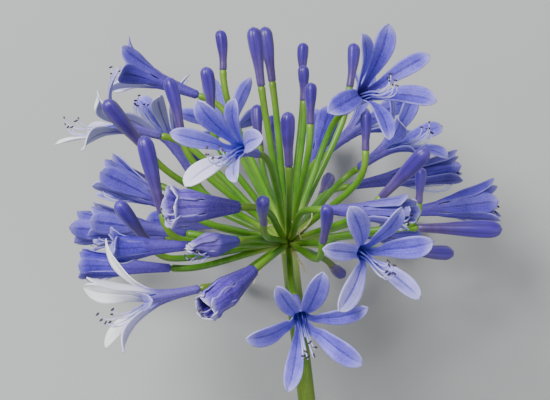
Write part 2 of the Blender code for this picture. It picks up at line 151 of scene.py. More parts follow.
def rods(name, lines, rings, steps=3):
    """Round rods through lines of (point, radius), in millimetres, as one mesh object."""
    bpy.ops.curve.primitive_bezier_curve_add()
    drawn = bpy.context.object
    drawn.name = name
    curve = drawn.data
    curve.splines.clear()
    curve.dimensions = "3D"
    curve.bevel_depth = MM
    curve.bevel_resolution = rings
    curve.resolution_u = steps
    curve.use_fill_caps = True
    for line in lines:
        spline = curve.splines.new("BEZIER")
        spline.bezier_points.add(len(line) - 1)
        for knot, (point, radius) in zip(spline.bezier_points, line):
            knot.co = Vector(point) * MM
            knot.radius = radius
            knot.handle_left_type = "AUTO"
            knot.handle_right_type = "AUTO"
    bpy.ops.object.convert(target="MESH")
    welded(WELD)
    bpy.ops.object.shade_smooth_by_angle(angle=math.radians(SMOOTH_ANGLE))
    return bpy.context.object


def pedicel_line(base, aim):
    """From the knob out into the bloom, easing into the way that the bloom points."""
    way = Vector(aim).normalized()
    end = Vector(base)
    neck = end - way * NECK
    turn = neck - way * neck.length * PEDICEL_ARRIVES
    control = ((0, 0, 0), neck * PEDICEL_LEAVES, turn, neck)
    shares = [step / PEDICEL_STEPS for step in range(PEDICEL_STEPS)]
    line = [(bezier(control, share), PEDICEL_RADIUS) for share in shares]
    swollen = (neck, PEDICEL_RADIUS * PEDICEL_SWELLING)
    return [*line, swollen, (end, PEDICEL_END_RADIUS), (end + way * SEATED, SEATED_RADIUS)]


def stalk_line():
    """From the knob down to the cut foot, a little bowed and thicker at the foot."""
    foot = foot_way * STALK_LENGTH
    middle = foot * 0.5 + Vector((STALK_BOW, 0, 0))
    control = ((0, 0, 0), middle * 0.7, middle * 1.3, foot)
    taper = FOOT_RADIUS - STALK_RADIUS
    return [
        (bezier(control, step / STALK_STEPS), STALK_RADIUS + taper * step / STALK_STEPS)
        for step in range(STALK_STEPS + 1)
    ]


def joined(name, objects):
    """The objects as one, named for what they make up."""
    bpy.ops.object.select_all(action="DESELECT")
    for obj in objects:
        obj.select_set(True)
    bpy.context.view_layer.objects.active = objects[0]
    bpy.ops.object.join()
    whole = bpy.context.object
    whole.name = name
    return whole


def painted(piece, skins):
    """Gives the piece these materials, in this order, and no others."""
    piece.data.materials.clear()
    for skin in skins:
        piece.data.materials.append(skin)


def settled(piece, place):
    """Puts the place into the mesh, flat where the piece bears on the surface."""
    piece.data.transform(place)
    for vertex in piece.data.vertices:
        vertex.co.z = max(vertex.co.z, 0.0)
    piece.matrix_world = Matrix.Identity(4)
    piece.select_set(False)


def node(tree, kind, sockets=(), **settings):
    """One shader node. Each of its sockets is set to a value or joined to an output."""
    made = tree.nodes.new(kind)
    for name, value in settings.items():
        setattr(made, name, value)
    for socket, value in dict(sockets).items():
        if isinstance(value, bpy.types.NodeSocket):
            tree.links.new(value, made.inputs[socket])
        else:
            made.inputs[socket].default_value = value
    return made


def fresh_material(name):
    """A new material's node tree, its shader and the place of each point on the piece."""
    made = bpy.data.materials.new(name)
    made.use_nodes = True
    tree = made.node_tree
    place = node(tree, "ShaderNodeTexCoord").outputs["Object"]
    return made, tree, tree.nodes["Principled BSDF"], place


def math_of(tree, operation, first, second=0.0):
    """One sum with two values."""
    made = node(tree, "ShaderNodeMath", {0: first, 1: second}, operation=operation)
    return made.outputs[0]


def vector_of(tree, operation, output, first, second=(0, 0, 0)):
    """One sum with two vectors."""
    made = node(tree, "ShaderNodeVectorMath", {0: first, 1: second}, operation=operation)
    return made.outputs[output]


def cloud_of(tree, place, scale, detail):
    """Soft blotches, as values from 0 to 1."""
    made = node(tree, "ShaderNodeTexNoise", {"Vector": place, "Scale": scale, "Detail": detail})
    return made.outputs["Fac"]


def eased(tree, value, low, high, start=0.0, end=1.0):
    """A soft step from start to end, while the value goes from low to high."""
    limits = {"From Min": low, "From Max": high, "To Min": start, "To Max": end}
    step = node(
        tree, "ShaderNodeMapRange", {"Value": value, **limits}, interpolation_type="SMOOTHSTEP"
    )
    return step.outputs["Result"]


def blended(tree, share, first, second):
    """The first colour where share is 0 and the second where it is 1."""
    mix = node(tree, "ShaderNodeMix", {0: share, 6: first, 7: second}, data_type="RGBA")
    return mix.outputs[2]


def laid(tree, under, over, value, low, high, start=0.0, end=1.0):
    """Lays a colour over another one, by a soft step of the value."""
    return blended(tree, eased(tree, value, low, high, start, end), under, over)


def coated(tree, shader, colour, settings, height=None, strength=0.0, depth=0.0):
    """Puts the colour, the settings and any fine relief, in metres, on the shader."""
    tree.links.new(colour, shader.inputs["Base Color"])
    for socket, value in settings.items():
        shader.inputs[socket].default_value = value
    if height is not None:
        sockets = {"Strength": strength, "Distance": depth, "Height": height}
        tree.links.new(node(tree, "ShaderNodeBump", sockets).outputs[0], shader.inputs["Normal"])


# Distances from the knob, in metres: reach is the way in a straight line, and down is
# how far along the stalk. The grain runs along the stalk and shows its fibres.
green_leaf, tree, shader, place = fresh_material("fresh green stalk")
off_knob = vector_of(tree, "SUBTRACT", "Vector", place, head.translation)
reach = vector_of(tree, "LENGTH", "Value", off_knob)
down = vector_of(tree, "DOT_PRODUCT", "Value", off_knob, head.to_3x3() @ foot_way)
grain = node(
    tree,
    "ShaderNodeMapping",
    {"Vector": place, "Rotation": head.to_euler(), "Scale": (900, 40, 900)},
)
streaks = cloud_of(tree, grain.outputs[0], 1.0, 3.0)
cloud = cloud_of(tree, place, 60.0, 2.0)
pores = node(tree, "ShaderNodeTexVoronoi", {"Vector": place, "Scale": 1100.0}).outputs["Distance"]
young = laid(tree, (0.060, 0.210, 0.004, 1), (0.110, 0.300, 0.010, 1), cloud, 0.35, 0.65)
old = laid(tree, (0.040, 0.110, 0.000, 1), (0.062, 0.145, 0.000, 1), cloud, 0.35, 0.65)
pith = laid(tree, (0.14, 0.24, 0.04, 1), (0.50, 0.56, 0.28, 1), pores, 0.10, 0.28)
colour = laid(tree, young, old, down, 0.002, 0.012)
colour = laid(tree, colour, (0.19, 0.36, 0.04, 1), streaks, 0.50, 0.72, 0.0, 0.30)
# Paler green round the knob: partly the pedicels' own paler bases, partly painted light that lifts
# the shade among the crowded pedicels there.
colour = laid(tree, colour, (0.36, 0.50, 0.10, 1), reach, 0.005, 0.022, 0.85, 0.0)
colour = laid(tree, colour, (0.20, 0.26, 0.02, 1), reach, 0.044, 0.058, 0.0, 0.35)
colour = laid(tree, colour, (0.16, 0.13, 0.03, 1), down, 0.2970, 0.2992, 0.0, 0.5)
colour = laid(tree, colour, pith, down, 0.29988, 0.29996)
juicy = {
    "Roughness": 0.40,
    "Subsurface Weight": 0.12,
    "Subsurface Radius": (0.3, 0.8, 0.1),
    "Subsurface Scale": 0.002,
}
coated(tree, shader, colour, juicy, streaks, strength=0.25, depth=0.0004)

lines = [pedicel_line(base, aim) for base, aim in borne.values()]
pedicels = rods("pedicels", lines, rings=3)
stalk = rods("stalk", [stalk_line()], rings=12, steps=4)
bpy.ops.object.select_all(action="DESELECT")
bpy.ops.mesh.primitive_uv_sphere_add(segments=32, ring_count=20, radius=KNOB_RADIUS * MM)
knob = bpy.context.object
bpy.ops.object.shade_smooth()
green = joined("green_stalk_and_pedicels", [stalk, pedicels, knob])
painted(green, (green_leaf,))
settled(green, head)
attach(green, "root")
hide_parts("stalk_and_pedicels")

# Dry bracteoles.
# Thin papery threads, straw-coloured, that grew between the pedicels and have dried
# and curled. They are rooted in the knob among the feet of the pedicels.

threads = (
    ((0, 0, 0), (-5, -4, 9), (-9, -8, 13), (-12, -12, 15), (-13, -15, 17)),
    ((-9, -8, 13), (-12, -11, 14), (-14, -13, 16), (-16, -14, 15)),
    ((0, 0, 0), (3, -3, 8), (5, -1, 12), (4, 4, 14), (1, 9, 15)),
    ((0, 0, 0), (3, -5, 8), (6, -9, 11), (6, -11, 14)),
    ((0, 0, 0), (-3, 4, 11), (-6, 7, 17), (-10, 6, 20)),
    ((0, 0, 0), (4, 4, 8), (8, 8, 13), (9, 11, 14), (8, 13, 13)),
    ((0, 0, 0), (-8, 2, 9), (-14, 1, 14), (-18, -1, 15)),
    ((0, 0, 0), (5, 2, -8), (9, 1, -13), (12, -3, -15)),
    ((0, 0, 0), (-5, 3, -9), (-8, 0, -14), (-9, -5, -16)),
)
THREAD_RADII = (0.45, 0.42, 0.34, 0.26, 0.15)  # from its root to its tip

straw, tree, shader, place = fresh_material("dry straw thread")
mottle = cloud_of(tree, place, 900.0, 3.0)
colour = laid(tree, (0.54, 0.46, 0.25, 1), (0.80, 0.72, 0.47, 1), mottle, 0.35, 0.65)
coated(tree, shader, colour, {"Roughness": 0.75})
dry = rods("dry_bracteoles", [list(zip(line, THREAD_RADII)) for line in threads], rings=1)
painted(dry, (straw,))
settled(dry, head)
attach(dry, "root")

# Open flowers.
# A thin waxy tube that parts into six petals, each with a darker line down its
# middle, and six pale stamens with dark anthers. It sits on its pedicel's end.

PETALS = 6
TUBE_LENGTH = 17.0
TUBE_BASE_RADIUS = 1.6
THROAT_RADIUS = 3.1
OPEN_FLARE = 2.6
OPEN_HALF_WIDTH = 4.1
OPEN_CLOSED = 0.5
OPEN_SPREAD = 48
OPEN_UNEVENNESS = (4, 4)
NARROW = 0.80  # the outer three petals, beside the inner three
SEAM = 0.93  # how much of the room between its neighbours a petal may fill
PETAL_ROOM = 0.7  # what a petal leaves free round the flower's axis
PETAL_THICKNESS = 0.45
TUBE_SHARE = 0.38  # how much of a petal's own length on its map belongs to the tube
COLUMNS = 10
TUBE_ROWS = 10
PETAL_ROWS = 22
PETAL_WELD = 0.004

# A flower's shape: its petals' length, its tube, its throat, how late the tube widens,
# how wide the petals may be, how near they come to their neighbours, how crumpled.
Form = namedtuple("Form", "length tube throat flare half_width closed crumple")

# Each flower: its petals' length, how pale its tube is, which petals are the broad
# ones (the even or the odd ones round the flower), and its petals, each as
# (turn round the flower, spread, paleness), with the angles in degrees. A flower
# with one value there is even, and that is how pale its petals are.
open_flowers = {
    "flower_01": (27, 0.05, 1, (
        (22, 36, 0.05), (-28, 39, 0.05), (-85, 43, 0.25),
        (-144, 38, 0.3), (145, 43, 0.65), (78, 39, 0.15))),
    "flower_02": (28, 0.05, 0, (
        (86, 50, 0.03), (30, 56, 0.06), (-10, 62, 0.05),
        (-61, 58, 0.06), (-115, 52, 0.04), (161, 44, 0.12))),
    "flower_03": (27, 0.08, 1, (
        (38, 56, 0.15), (-12, 43, 0.12), (-70, 40, 0.03),
        (-137, 44, 0.28), (141, 62, 0.32), (82, 58, 0.22))),
    "flower_04": (28, 0.0, 0, (
        (36, 37, 0.1), (-10, 44, 0.04), (-66, 54, 0.08),
        (-119, 50, 0.0), (119, 68, 0.0), (176, 60, 0.05))),
    # flower_05's near-white petals are painted light: the white of petals in bright sun, painted
    # into their colour beside its darker violet ones.
    "flower_05": (28, 0.3, 0, (
        (-20, 28, 1.0), (24, 65, 1.0), (66, 40, 1.0),
        (137, 50, 1.0), (-135, 48, 0.6), (-86, 72, 0.2))),
    "flower_06": (26, 0.25, 0, (
        (105, 75, 0.6), (165, 30, 1.0), (-128, 55, 0.6),
        (-74, 57, 0.5), (-35, 72, 0.3), (60, 75, 0.9))),
    "flower_07": (28, 0.12, 0, 0.35),
    "flower_08": (28, 0.08, 0, 0.15),
    "flower_09": (25, 0.05, 0, 0.10),
    "flower_10": (26, 0.08, 0, 0.15),
}
# One petal: the way it turns and the way its root is set round the flower, its spread,
# how pale and how wide it is, how far it is set in, and its waves, their start, its tilt.
Petal = namedtuple("Petal", "turn root spread pale width inset wave phase tilt")


def aimed(base, aim):
    """A bloom's place in the head: z along its aim, y the side nearest the stalk's up."""
    forward = Vector(aim).normalized()
    up = Vector((0, 1, 0)) - forward * forward.y
    if up.length < 0.25:
        up = Vector((0, 0, 1)) - forward * forward.z
    up.normalize()
    side = up.cross(forward)
    turn = Matrix((side, up, forward)).transposed().to_4x4()
    return Matrix.Translation(Vector(base) * MM) @ turn


def soft_step(value, low, high):
    """0 up to low, 1 from high on, and smooth between them."""
    share = min(1.0, max(0.0, (value - low) / (high - low)))
    return share * share * (3 - 2 * share)


LEAVING = math.radians(22)  # a petal leaves the throat at most this far off the axis
CURLED_OVER = math.radians(30)  # one that spreads more than this
TIP_CURL = math.radians(28)  # has a tip that bends back by this much
THROAT_PULL = 0.34  # the share of its length over which it keeps the first way
TIP_PULL = 0.30  # and the same for the way of its tip


def petal_line(radius, length, spread, share):
    """Distance from the flower's axis and height over the throat, along a petal."""
    start = Vector((radius, 0, 0))
    tip = Vector((math.sin(spread), math.cos(spread), 0)) * length
    leaving = min(spread, LEAVING)
    arriving = spread + (TIP_CURL if spread > CURLED_OVER else 0.0)
    first = start + Vector((math.sin(leaving), math.cos(leaving), 0)) * length * THROAT_PULL
    second = tip - Vector((math.sin(arriving), math.cos(arriving), 0)) * length * TIP_PULL
    return bezier((start, first, second, tip), share)


WIDEST = 0.68  # where along the petal it is widest
FOOT_WIDTH = 0.36
TIP_WIDTH = 0.04


def petal_width(share):
    """Half width along a petal, as a share of the widest: narrow foot, rounded tip."""
    if share < WIDEST:
        return FOOT_WIDTH + (1 - FOOT_WIDTH) * soft_step(share, -0.05, WIDEST)
    past = (share - WIDEST) / (1 - WIDEST)
    return max(TIP_WIDTH, max(0.0, 1 - past**2.2) ** 0.56)


RIB = 0.05  # how far the ribs of the tube stand out, as a share of its radius


def wall_point(petal, across, radius, height):
    """A point of the tube's wall, which is a little ribbed along each petal's middle."""
    angle = petal.root + across * math.pi / PETALS
    wall = radius * (1 + RIB * math.cos(math.pi * across))
    return Vector((-math.sin(angle) * wall, math.cos(angle) * wall, height))


TUBE_ROUNDING = 1.4  # over this height the tube's foot closes in a round


def tube_point(form, petal, across, share):
    """A point of the tube, which widens slowly and then flares towards the throat."""
    height = share * form.tube
    radius = TUBE_BASE_RADIUS + (form.throat - TUBE_BASE_RADIUS) * share**form.flare
    radius *= math.sqrt(1 - (1 - min(1.0, height / TUBE_ROUNDING)) ** 2)
    return wall_point(petal, across, radius, height)


ROOM_AT = 0.6  # the room between neighbours is taken at this share of the length


def half_width_at(form, petal, line, share):
    """Half of the petal's width, kept within the room that its neighbours leave."""
    room = form.throat + math.sin(petal.spread) * form.length * ROOM_AT
    half = min(form.half_width, room * math.tan(math.pi / PETALS) * SEAM * form.closed * 2)
    return min(half * petal.width * petal_width(share), (line.x - PETAL_ROOM) * form.closed)


CHANNEL = 0.22  # how deep the petal is channelled, as a share of its half width
WAVES = 1.3  # how many waves its edge has
MIDRIB_DEPTH = 0.12
MIDRIB_WIDTH = 0.14


def lift_at(petal, across, share, half):
    """How far the petal's face stands off its middle line, channelled, waved and tilted."""
    lift = half * CHANNEL * abs(across) ** 1.7 + petal.inset * soft_step(share, 0.0, 0.25)
    wave = math.sin(math.tau * (WAVES * share + petal.phase) + across) * abs(across) ** 3
    lift += petal.wave * wave * soft_step(share, 0.15, 0.6)
    midrib = MIDRIB_DEPTH * math.exp(-((across / MIDRIB_WIDTH) ** 2))
    lift -= midrib * soft_step(share, 0.0, 0.2)
    return lift + petal.tilt * across * half * soft_step(share, 0.2, 1.0)


CREASES = 0.20  # how fine the creases of a limp petal are
FRILLS = 5  # how many frills its edge has
FRILL_HEIGHT = 0.45
TIP_ROLL = 0.9
CREASE_SEED = 1
noise.seed_set(CREASE_SEED)  # without this the creases would differ on every run


def crumpling(form, petal, across, share, free, up):
    """How a limp petal's point is moved: by its creases, and by its frills and rolled tip."""
    spot = free * CREASES + Vector((petal.phase * 9, petal.turn, 0))
    crease = noise.noise_vector(spot) * form.crumple * soft_step(share, 0.0, 0.7)
    frill = math.sin(math.tau * (FRILLS * share + petal.phase)) * abs(across) ** 4
    frill *= soft_step(share, 0.45, 1.0)
    roll = soft_step(share, 0.72, 1.0) * TIP_ROLL
    return crease, (up * frill * FRILL_HEIGHT - up * roll) * form.crumple


TURNED_BY = 0.34  # from this share of its length on, a petal points its own way
FREE_FROM = 0.30  # and from this one on, it has its own shape and not the tube's


def petal_point(form, petal, across, along):
    """Where a point of the flat petal lands. across runs -1 to 1, along 0 to 1."""
    if along <= TUBE_SHARE:
        return tube_point(form, petal, across, along / TUBE_SHARE)
    share = (along - TUBE_SHARE) / (1 - TUBE_SHARE)
    bent = petal.root + (petal.turn - petal.root) * soft_step(share, 0.0, TURNED_BY)
    out = Vector((-math.sin(bent), math.cos(bent), 0))
    side = Vector((0, 0, 1)).cross(out)
    up = Vector((0, 0, math.sin(petal.spread))) - out * math.cos(petal.spread)
    line = petal_line(form.throat, form.length, petal.spread, share)
    height = form.tube + line.y
    half = half_width_at(form, petal, line, share)
    lift = lift_at(petal, across, share, half)
    free = out * line.x + Vector((0, 0, height)) + up * lift + side * half * across
    if form.crumple:
        crease, frill = crumpling(form, petal, across, share, free, up)
        free = free + crease + frill
    rim = wall_point(petal, across, form.throat, height) + out * (line.x - form.throat)
    return rim.lerp(free, soft_step(share, 0.0, FREE_FROM))


OUTER_SPREAD = 4  # every second petal is an outer one and spreads a little more
INNER_SPREAD = -2


def petal_list(petals, spread, seed, unevenness=(0.0, 0.0), inset=0.0, widths=(1.0, 1.0)):
    """The flower's petals, in order round it, with what chance gives to each."""
    draw = random.Random(seed)
    each = 360 / PETALS
    if not isinstance(petals, tuple):
        pale = petals
        petals = [
            (
                each * i - each / 2 + draw.uniform(-1, 1) * unevenness[0],
                spread
                + (OUTER_SPREAD if i % 2 else INNER_SPREAD)
                + draw.uniform(-1, 1) * unevenness[1],
                pale * draw.uniform(0.5, 1.3),
            )
            for i in range(PETALS)
        ]
    petals = sorted(petals)
    mean = sum(petal[0] - each * i for i, petal in enumerate(petals)) / PETALS
    return [
        Petal(
            turn=math.radians(turn),
            root=math.radians(mean + each * i),
            spread=math.radians(wide),
            pale=pale,
            width=widths[i % 2],
            inset=inset * (i % 2),
            wave=draw.uniform(0.10, 0.34),
            phase=draw.uniform(0, 1),
            tilt=draw.uniform(-0.16, 0.16),
        )
        for i, (turn, wide, pale) in enumerate(petals)
    ]


def toned(piece, pale):
    """Writes how pale each point of the piece is, for its finish to read."""
    tone = piece.data.attributes.new("pale", "FLOAT", "POINT")
    tone.data.foreach_set("value", [float(pale(vertex)) for vertex in piece.data.vertices])


def flat_blank(name, columns, rows):
    """A flat sheet, of which each copy is bent into its own shape."""
    bpy.ops.object.select_all(action="DESELECT")
    bpy.ops.mesh.primitive_grid_add(
        x_subdivisions=columns, y_subdivisions=rows, size=1, calc_uvs=True
    )
    bpy.context.object.name = name
    return bpy.context.object


def copy_of(blank, name):
    """A copy of the blank with its own mesh."""
    made = bpy.data.objects.new(name, blank.data.copy())
    bpy.context.scene.collection.objects.link(made)
    return made


petal_blank = flat_blank("petal blank", COLUMNS, TUBE_ROWS + PETAL_ROWS)
petal_blank.data.uv_layers[0].name = "Petal"
TONE_STARTS = 0.9  # the tube's own paleness ends here, as a share of the tube
TONE_RUN = 0.28  # and the petal's is reached so much further on along the map


def perianth(name, form, petals, tube_pale):
    """The tube and its six petals, cut from copies of the flat blank, as one sheet."""
    rows = TUBE_ROWS + PETAL_ROWS
    strips = []
    for petal in petals:
        strip = copy_of(petal_blank, name)
        marks = {}
        for vertex in strip.data.vertices:
            row = round((vertex.co.y + 0.5) * rows)
            along = TUBE_SHARE * row / TUBE_ROWS
            if row > TUBE_ROWS:
                along = TUBE_SHARE + (1 - TUBE_SHARE) * (row - TUBE_ROWS) / PETAL_ROWS
            marks[vertex.index] = soft_step(along, TUBE_SHARE * TONE_STARTS, TUBE_SHARE + TONE_RUN)
            vertex.co = petal_point(form, petal, vertex.co.x * 2, along) * MM
        toned(strip, lambda v: tube_pale + (petal.pale - tube_pale) * marks[v.index])
        strips.append(strip)
    whole = joined(name, strips)
    welded(PETAL_WELD)
    return whole


def thickened(whole):
    """Gives the sheet a thickness: its outside keeps the first finish, the rest the second."""
    wall = whole.modifiers.new("thickness", "SOLIDIFY")
    wall.thickness = PETAL_THICKNESS * MM
    wall.offset = -1
    wall.material_offset = 1
    wall.material_offset_rim = 1
    bpy.context.view_layer.objects.active = whole
    bpy.ops.object.modifier_apply(modifier=wall.name)
    bpy.ops.object.shade_smooth()


# Points along a stamen, as shares of its root's and its fan's offset from the axis,
# and shares of its length sideways and out from the throat.
stamen_course = (
    (1.0, 0.0, 0.00, -0.30),
    (0.6, 0.0, 0.10, 0.20),
    (0.2, 0.5, 0.24, 0.50),
    (0.0, 0.9, 0.30, 0.78),
    (0.0, 1.0, 0.26, 0.94),
    (0.0, 1.0, 0.17, 1.02),
)
STAMEN_LENGTH = 19.5
SHORTEST_STAMEN = 0.84  # of that length, and each next one is longer
STAMEN_STEP = 0.05
STAMEN_FANS = (1.9, 2.3, 2.6)  # how far they stand apart at their tips
STAMEN_ROOT = 1.1  # how far inside the throat's rim they stand
FILAMENT_RADIUS = 0.27
STYLE_RADIUS = 0.22
STYLE_ROOT = 8  # how deep in the tube the style starts
low_side = Vector((0.15, -1.0, -0.25))  # the way in which stamens droop, in the head


def stamens(aim, form, length):
    """Lines of the six filaments and of the style, which lean to the flower's low side."""
    down = aimed((0, 0, 0), aim).to_3x3().transposed() @ low_side
    low = Vector((down.x, down.y, 0)).normalized()
    throat = Vector((0, 0, form.tube))
    lines = []
    for i in range(PETALS):
        angle = math.tau * (i + 0.25) / PETALS
        way = Vector((math.sin(angle), math.cos(angle), 0))
        root = way * (form.throat - STAMEN_ROOT)
        fan = way * STAMEN_FANS[i % len(STAMEN_FANS)]
        far = length * (SHORTEST_STAMEN + STAMEN_STEP * i)
        points = [
            root * near + fan * wide + low * far * lean + throat + Vector((0, 0, far * rise))
            for near, wide, lean, rise in stamen_course
        ]
        lines.append([(point, FILAMENT_RADIUS * (1.2 - 0.1 * k)) for k, point in enumerate(points)])
    style = (
        throat - Vector((0, 0, STYLE_ROOT)),
        throat + low * length * 0.08 + Vector((0, 0, length * 0.2)),
        throat + low * length * 0.13 + Vector((0, 0, length * 0.5)),
    )
    lines.append([(point, STYLE_RADIUS) for point in style])
    return lines


ANTHER_SIZE = (0.40, 0.34, 0.92)  # its half sizes
bpy.ops.object.select_all(action="DESELECT")
bpy.ops.mesh.primitive_uv_sphere_add(segments=12, ring_count=8, radius=1)
anther_blank = bpy.context.object
anther_blank.name = "anther blank"
bpy.ops.object.mode_set(mode="EDIT")
bpy.ops.transform.resize(value=Vector(ANTHER_SIZE) * MM)
bpy.ops.object.mode_set(mode="OBJECT")
bpy.ops.object.shade_smooth()


def anthers(lines, seed):
    """One anther across the end of each filament."""
    draw = random.Random(seed)
    made = []
    for line in lines[:PETALS]:
        anther = copy_of(anther_blank, "anther")
        way = (line[-1][0] - line[-2][0]).normalized()
        lean = Vector((draw.uniform(-1, 1), draw.uniform(-1, 1), draw.uniform(-0.3, 0.6)))
        across = (lean - way * lean.dot(way)).normalized()
        turn = across.to_track_quat("Z", "Y").to_matrix().to_4x4()
        anther.data.transform(Matrix.Translation(line[-1][0] * MM) @ turn)
        made.append(anther)
    return made


def petal_finish(name, deep, mid, pale, stripe, tube_colour, rim=0.16, bleach=0.26):
    """Waxy petal skin: a dark line down the middle, fine veins, and paler edges."""
    made, tree, shader, place = fresh_material(name)
    flat = node(tree, "ShaderNodeUVMap", uv_map="Petal").outputs["UV"]
    parts = node(tree, "ShaderNodeSeparateXYZ", {0: flat})
    across, along = parts.outputs["X"], parts.outputs["Y"]
    tint = node(tree, "ShaderNodeAttribute", attribute_name="pale").outputs["Fac"]
    cloud = cloud_of(tree, place, 170.0, 3.0)
    fine = cloud_of(tree, place, 1400.0, 2.0)
    # How far a point is off the petal's middle, 1 at its edge, with a slight wander.
    off = math_of(tree, "ABSOLUTE", math_of(tree, "SUBTRACT", across, 0.5))
    off = math_of(tree, "MULTIPLY", off, 2.0)
    wander = math_of(tree, "MULTIPLY", math_of(tree, "SUBTRACT", cloud, 0.5), 0.12)
    off = math_of(tree, "ADD", off, wander)
    # The dark line down the middle ends before the tip.
    middle = eased(tree, off, 0.04, 0.22, 1.0, 0.0)
    middle = math_of(tree, "MULTIPLY", middle, eased(tree, along, 0.84, 0.98, 1.0, 0.0))
    # The veins run beside it, fainter towards the tip and towards the edge.
    veins = eased(tree, math_of(tree, "SINE", math_of(tree, "MULTIPLY", off, 25.0)), 0.1, 1.0)
    lengthwise = eased(tree, along, 0.42, 0.95, 0.60, 0.20)
    sideways = eased(tree, off, 0.55, 0.95, 1.0, 0.0)
    veins = math_of(tree, "MULTIPLY", veins, math_of(tree, "MULTIPLY", lengthwise, sideways))
    # The petal's own colour, then its paler edge and tip, the lines, and the tube.
    faded = (0.80, 0.81, 0.97, 1)
    body = laid(tree, deep, mid, cloud, 0.30, 0.70)
    body = laid(tree, body, pale, tint, 0.0, 1.0)
    body = laid(tree, body, faded, off, 0.66, 1.02, 0.0, rim)
    body = laid(tree, body, faded, along, 0.86, 1.0, 0.0, bleach)
    strength = eased(tree, tint, 0.2, 1.0, 0.75, 0.12)
    body = blended(tree, math_of(tree, "MULTIPLY", veins, strength), body, stripe)
    body = blended(tree, math_of(tree, "MULTIPLY", middle, strength), body, stripe)
    # The tube's colour. On the open flowers' inside it is lighter than the petals: painted light
    # against the shade deep in the tube.
    body = laid(tree, body, tube_colour, along, 0.26, 0.50, 0.80, 0.0)
    body = laid(tree, body, pale, fine, 0.40, 0.62, 0.0, 0.05)
    waxy = {
        "Roughness": 0.50,
        "Specular IOR Level": 0.30,
        "Subsurface Weight": 0.20,
        "Subsurface Radius": (0.5, 0.5, 1.0),
        "Subsurface Scale": 0.0012,
    }
    height = math_of(tree, "ADD", math_of(tree, "MULTIPLY", veins, -0.8), fine)
    height = math_of(tree, "SUBTRACT", height, middle)
    coated(tree, shader, body, waxy, height, strength=0.35, depth=0.00025)
    return made


petal_outside = petal_finish(
    "open petal outside",
    deep=(0.070, 0.044, 0.480, 1),
    mid=(0.110, 0.078, 0.610, 1),
    pale=(0.830, 0.820, 0.970, 1),
    stripe=(0.034, 0.014, 0.280, 1),
    tube_colour=(0.110, 0.065, 0.380, 1),
)
petal_inside = petal_finish(
    "open petal inside",
    deep=(0.105, 0.072, 0.570, 1),
    mid=(0.160, 0.124, 0.710, 1),
    pale=(0.950, 0.950, 0.990, 1),
    stripe=(0.046, 0.026, 0.400, 1),
    # Painted light: a lighter tube inside, against the shade deep in the open flowers' tubes.
    tube_colour=(0.270, 0.240, 0.860, 1),
)

filament_skin, tree, shader, place = fresh_material("pale filament")
cloud = cloud_of(tree, place, 400.0, 2.0)
tint = node(tree, "ShaderNodeAttribute", attribute_name="pale").outputs["Fac"]
colour = laid(tree, (0.10, 0.09, 0.50, 1), (0.16, 0.15, 0.62, 1), cloud, 0.35, 0.65)
colour = laid(tree, colour, (0.66, 0.66, 0.95, 1), tint, 0.15, 0.85)
coated(tree, shader, colour, {"Roughness": 0.45})

anther_skin, tree, shader, place = fresh_material("dark anther")
pollen = cloud_of(tree, place, 2600.0, 3.0)
colour = laid(tree, (0.020, 0.016, 0.055, 1), (0.26, 0.19, 0.10, 1), pollen, 0.52, 0.66)
coated(tree, shader, colour, {"Roughness": 0.8}, pollen, strength=0.5, depth=0.0002)


def stamens_of(aim, form, length, seed):
    """The six stamens and the style, violet at the root and pale at the tip."""
    lines = stamens(aim, form, length)
    threads = rods("filaments", lines, rings=1)
    painted(threads, (filament_skin,))
    toned(threads, lambda v: (v.co.z / MM - form.tube) / length)
    tips = anthers(lines, seed)
    for tip in tips:
        painted(tip, (anther_skin,))
    return [threads, *tips]


def bloom_of(name, kind, form, petals, pale, skins, stamen_length, seed):
    """A whole flower in its place: its petals and tube, and its stamens within."""
    base, aim = borne[name]
    cup = perianth(name, form, petals, pale)
    painted(cup, skins)
    thickened(cup)
    bloom = joined(f"{kind}_of_{name}", [cup, *stamens_of(aim, form, stamen_length, seed)])
    settled(bloom, head @ aimed(base, aim))
    return bloom


OPEN_PETAL_SEED = 11
OPEN_STAMEN_SEED = 40
open_skins = (petal_outside, petal_inside)
for number, (name, (length, pale, broad, petals)) in enumerate(open_flowers.items()):
    form = Form(
        length, TUBE_LENGTH, THROAT_RADIUS, OPEN_FLARE, OPEN_HALF_WIDTH, OPEN_CLOSED, crumple=0.0
    )
    widths = (NARROW, 1.0) if broad else (1.0, NARROW)
    seed = OPEN_PETAL_SEED + number
    petals = petal_list(petals, OPEN_SPREAD, seed, OPEN_UNEVENNESS, widths=widths)
    seed = OPEN_STAMEN_SEED + number
    bloom = bloom_of(
        name, "petals_and_stamens", form, petals, pale, open_skins, STAMEN_LENGTH, seed
    )
    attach(bloom, "root")
    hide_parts(name)

# Half-open flowers.
# The same tube and six petals, not yet spread, so that they make a trumpet. Their
# outsides are a deeper violet blue, with paler margins where one petal meets the next.

TRUMPET_FLARE = 1.4
TRUMPET_HALF_WIDTH = 4.3
TRUMPET_CLOSED = 0.66
TRUMPET_UNEVENNESS = (5, 4)
TRUMPET_INSET = 0.55
TRUMPET_STAMENS = 0.84  # as a share of the petals' length
TRUMPET_PETAL_SEED = 111
TRUMPET_STAMEN_SEED = 140
